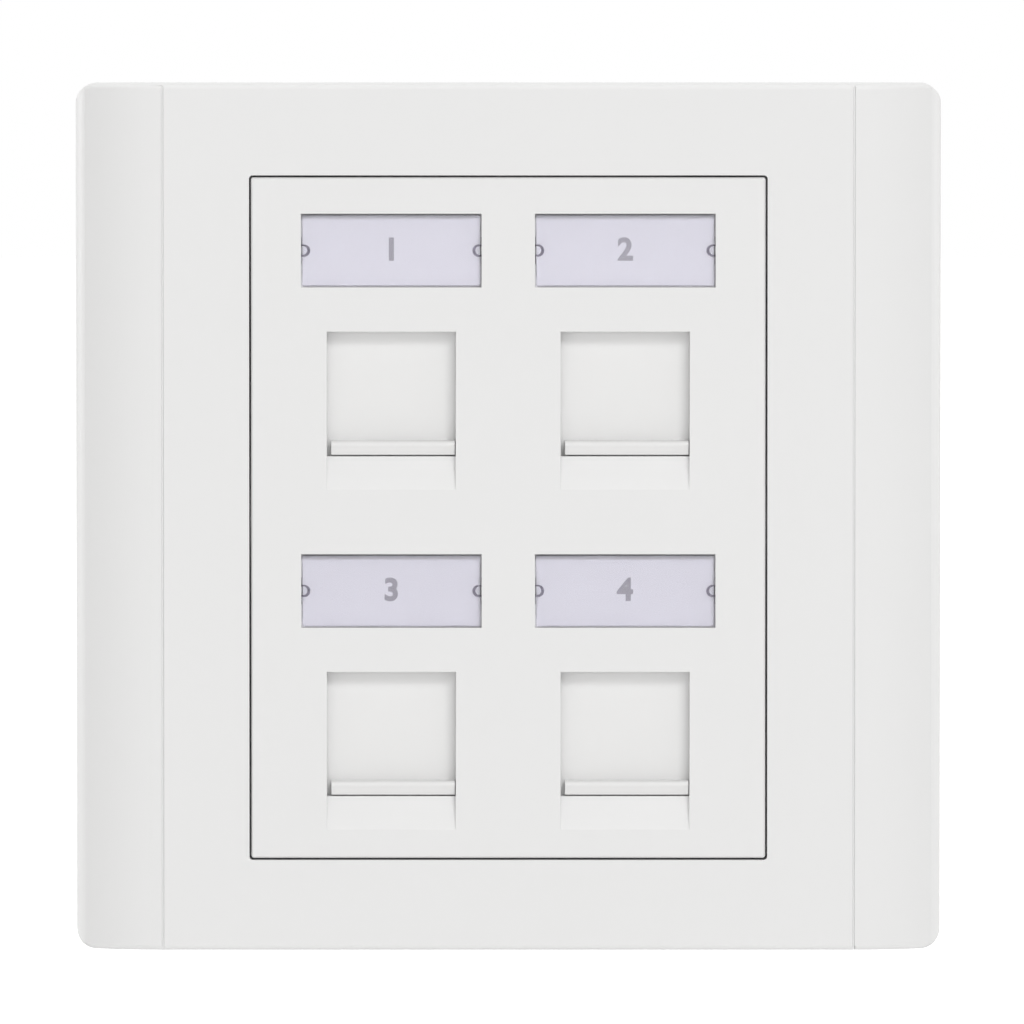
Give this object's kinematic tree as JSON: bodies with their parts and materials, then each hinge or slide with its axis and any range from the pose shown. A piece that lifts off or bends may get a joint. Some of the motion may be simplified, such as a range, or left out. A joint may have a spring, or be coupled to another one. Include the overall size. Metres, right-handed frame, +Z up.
{
  "type": "data wall outlet",
  "caption": "Square wall outlet with sprung dust shutters over clip-in data jacks, clear label windows, a clip-on cover frame and wire terminals behind.",
  "frame": {"origin": "midway between the two wall screws, on the wall's surface", "axes": "+X to the right seen from the room, +Y into the wall, +Z up"},
  "size_m": [0.086, 0.0316, 0.086],
  "materials": {
    "cover_plastic": "satin-moulded white",
    "insert_plastic": "satin-moulded white",
    "shutter_plastic": "satin-moulded white",
    "label_window": "clear, faintly violet",
    "label_paper": "plain card",
    "spring_wire": "drawn spring wire",
    "carrier_plastic": "fine-textured off-white",
    "screw_steel": "zinc plated",
    "jack_plastic": "moulded white",
    "comb_plastic": "moulded black",
    "contact_gold": "gold plated",
    "board_laminate": "solder-masked laminate",
    "terminal_plastic": "moulded off-white",
    "blade_bronze": "tinned bronze",
    "cap_plastic": "moulded white"
  },
  "bodies": {
    "outlet": {"carrier_screws": "screw_steel", "contact_comb_1": "comb_plastic", "contact_comb_2": "comb_plastic", "contact_comb_3": "comb_plastic", "contact_comb_4": "comb_plastic", "cover_frame": "cover_plastic", "face_insert": "insert_plastic", "jack_board_1": "board_laminate", "jack_board_2": "board_laminate", "jack_board_3": "board_laminate", "jack_board_4": "board_laminate", "jack_carrier": "carrier_plastic", "jack_contacts_1": "contact_gold", "jack_contacts_2": "contact_gold", "jack_contacts_3": "contact_gold", "jack_contacts_4": "contact_gold", "jack_housing_1": "jack_plastic", "jack_housing_2": "jack_plastic", "jack_housing_3": "jack_plastic", "jack_housing_4": "jack_plastic", "label_card_1": "label_paper", "label_card_2": "label_paper", "label_card_3": "label_paper", "label_card_4": "label_paper", "label_cover_1": "label_window", "label_cover_2": "label_window", "label_cover_3": "label_window", "label_cover_4": "label_window", "shutter_spring_1": "spring_wire", "shutter_spring_2": "spring_wire", "shutter_spring_3": "spring_wire", "shutter_spring_4": "spring_wire", "terminal_blades_1": "blade_bronze", "terminal_blades_2": "blade_bronze", "terminal_blades_3": "blade_bronze", "terminal_blades_4": "blade_bronze", "terminal_block_1": "terminal_plastic", "terminal_block_2": "terminal_plastic", "terminal_block_3": "terminal_plastic", "terminal_block_4": "terminal_plastic", "wire_cap_1": "cap_plastic", "wire_cap_2": "cap_plastic", "wire_cap_3": "cap_plastic", "wire_cap_4": "cap_plastic"},
    "door_1": {"shutter_1": "shutter_plastic"},
    "door_2": {"shutter_2": "shutter_plastic"},
    "door_3": {"shutter_3": "shutter_plastic"},
    "door_4": {"shutter_4": "shutter_plastic"}
  },
  "joints": [
    {"name": "door_1_slide", "type": "slide", "parent": "outlet", "child": "door_1", "axis": [0, 0, 1], "range_m": [0, 0.0106], "stiffness_N_per_m": 40, "springref_m": -0.006, "deforming": ["shutter_spring_1"]},
    {"name": "door_2_slide", "type": "slide", "parent": "outlet", "child": "door_2", "axis": [0, 0, 1], "range_m": [0, 0.0106], "stiffness_N_per_m": 40, "springref_m": -0.006, "deforming": ["shutter_spring_2"]},
    {"name": "door_3_slide", "type": "slide", "parent": "outlet", "child": "door_3", "axis": [0, 0, 1], "range_m": [0, 0.0106], "stiffness_N_per_m": 40, "springref_m": -0.006, "deforming": ["shutter_spring_3"]},
    {"name": "door_4_slide", "type": "slide", "parent": "outlet", "child": "door_4", "axis": [0, 0, 1], "range_m": [0, 0.0106], "stiffness_N_per_m": 40, "springref_m": -0.006, "deforming": ["shutter_spring_4"]}
  ]
}
